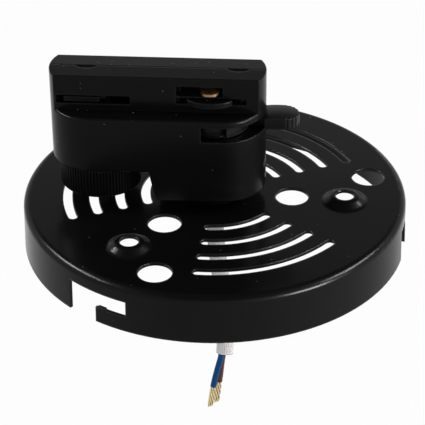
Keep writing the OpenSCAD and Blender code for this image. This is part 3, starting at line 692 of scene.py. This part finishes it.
# %% [markdown]
# ## The leads
#
# A lead is a round wire in smooth plastic. Its cover has a plain colour with the faintest cloud in it,
# and only a weak shine.

# %% The cover of a lead
COVER_GRAIN = {"Tooth Scale": 2500, "Cloud Scale": 300, "Roughness": 0.45}
COVER_GLOSS = 0.06
COVER_DULL = 0.85


def cover_finish(name, colour):
    material, tree, shader = start_look(name, {"Specular IOR Level": COVER_GLOSS})
    surface = add_node(tree, "Group", COVER_GRAIN, node_tree=grain).outputs
    shown = clouded(tree, surface, colour, COVER_DULL)
    set_inputs(shader, {"Base Color": shown, "Roughness": surface["Roughness"]})
    return material


blue_cover = cover_finish("blue_cover", (0.004, 0.064, 0.19))
brown_cover = cover_finish("brown_cover", (0.12, 0.045, 0.036))
print("covers:", blue_cover.name, brown_cover.name)

# %% [markdown]
# A curve with a bevel is the plainest way to make a wire: the curve is the wire's own centre line, and
# the bevel depth is its radius.

# %% Draw the leads
LEAD_R = 1.05 * MM
LEAD_ROUNDNESS = 5


def wire_curve(name, lines, radius, roundness, finish):
    data = bpy.data.curves.new(name, "CURVE")
    data.dimensions = "3D"
    data.bevel_depth = radius
    data.bevel_resolution = roundness
    data.use_fill_caps = True
    data.materials.append(finish)
    for line in lines:
        spline = data.splines.new("POLY")
        spline.points.add(len(line) - 1)
        for point, place in zip(spline.points, line):
            point.co = (*place, 1)
        spline.use_smooth = True
    return add_object(name, data)


blue_wire = wire_curve("blue_wire", [blue_line], LEAD_R, LEAD_ROUNDNESS, blue_cover)
brown_wire = wire_curve("brown_wire", [brown_line], LEAD_R, LEAD_ROUNDNESS, brown_cover)
print("leads:", blue_wire.name, brown_wire.name)

# %% [markdown]
# The bare end of a lead is a bundle of strands with a slight twist: one in the middle and six round
# it. Each strand follows the tail's route at its own place in the ring, and the place turns slowly on
# the way down. The bundle opens a little halfway down, and the outer ends differ in length, as cut
# strands do.

# %% Twist the strands
BLUE_TAIL = [(-0.85, -1.1, -76.6), (-1.25, -1.2, -79.6), (-1.6, -1.2, -82.4), (-1.95, -1.3, -85)]
BROWN_TAIL = [(1, 1.4, -76.2), (0.7, 1.4, -79), (0.35, 1.4, -82), (0, 1.4, -85.1)]
STRAND_R = 0.25 * MM
STRAND_ROUNDNESS = 2
STRAND_STEPS = 8
OUTER_STRANDS = 6
END_LENGTHS = 3
RING_STEP = 0.64 * MM
TWIST_TURNS = 0.6
FLARE = 0.25
STRAY, STRAY_TURN = 0.1, 5


def strand_lines(tail):
    middle = smooth_route(tail, STRAND_STEPS)
    lines = [middle]
    for k in range(OUTER_STRANDS):
        line = []
        for step, place in enumerate(middle[:len(middle) - k % END_LENGTHS]):
            share = step / (len(middle) - 1)
            stray = STRAY * share * math.sin(STRAY_TURN * k)
            reach = RING_STEP * (1 + FLARE * math.sin(math.pi * share) + stray)
            line.append(place + reach * round_point(k / OUTER_STRANDS + TWIST_TURNS * share))
        lines.append(line)
    return lines


def strand_piece(name, tail):
    return wire_curve(name, strand_lines(tail), STRAND_R, STRAND_ROUNDNESS, bare_strands)


blue_ends = strand_piece("blue_ends", BLUE_TAIL)
brown_ends = strand_piece("brown_ends", BROWN_TAIL)
print("strands a bundle:", len(blue_ends.data.splines))

# %% [markdown]
# Each lead leaves the rotor at its foot, inside the adapter. The lead and its strands are attached to
# the adapter, and the model's own lead and strands are hidden.

# %% Hang the leads
for wire, line, ends, colour in (
    (blue_wire, blue_line, blue_ends, "blue"),
    (brown_wire, brown_line, brown_ends, "brown"),
):
    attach(wire, "adapter")
    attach(ends, "adapter")
    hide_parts(colour + "_lead")
    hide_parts(colour + "_strands")

# %% [markdown]
# ## The thread of the nipple
#
# The hollow nipple is threaded from end to end, and its lower end shows under the plate's nut. A
# thread is a ring of points whose radius rises and falls along the axis and shifts by one pitch in
# each turn. Two plain rings make the bore.

# %% Cut the thread
THREAD_PITCH = 1.0 * MM
THREAD_DEPTH = 0.5 * MM
THREAD_SIDES = 48
THREAD_STEPS = 8
NIPPLE_BORE_R = 3.9 * MM

nipple_r = (nipple_high.x - nipple_low.x) / 2
nipple_length = nipple_high.z - nipple_low.z
ring_count = round(nipple_length / THREAD_PITCH * THREAD_STEPS)
shares = [i / THREAD_SIDES for i in range(THREAD_SIDES)]
loops = []
for k in range(ring_count + 1):
    rise = nipple_length * k / ring_count
    middle = Vector((plate_axis, 0, nipple_low.z + rise))
    phases = [(rise / THREAD_PITCH - share) % 1 for share in shares]
    radii = [nipple_r - THREAD_DEPTH * abs(2 * phase - 1) for phase in phases]
    loops.append([middle + r * round_point(share) for r, share in zip(radii, shares)])
for z in (nipple_high.z, nipple_low.z):
    loops.append(ring_round(Vector((plate_axis, 0, z)), NIPPLE_BORE_R, THREAD_SIDES))

work = bmesh.new()
join_rings(work, [[work.verts.new(v) for v in loop] for loop in loops])
thread = mesh_piece("threaded_tube", work)
thread.data.materials.append(zinc_plate)
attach(thread, "adapter")
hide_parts("threaded_nipple")
print(thread.name, len(thread.data.polygons), "faces")
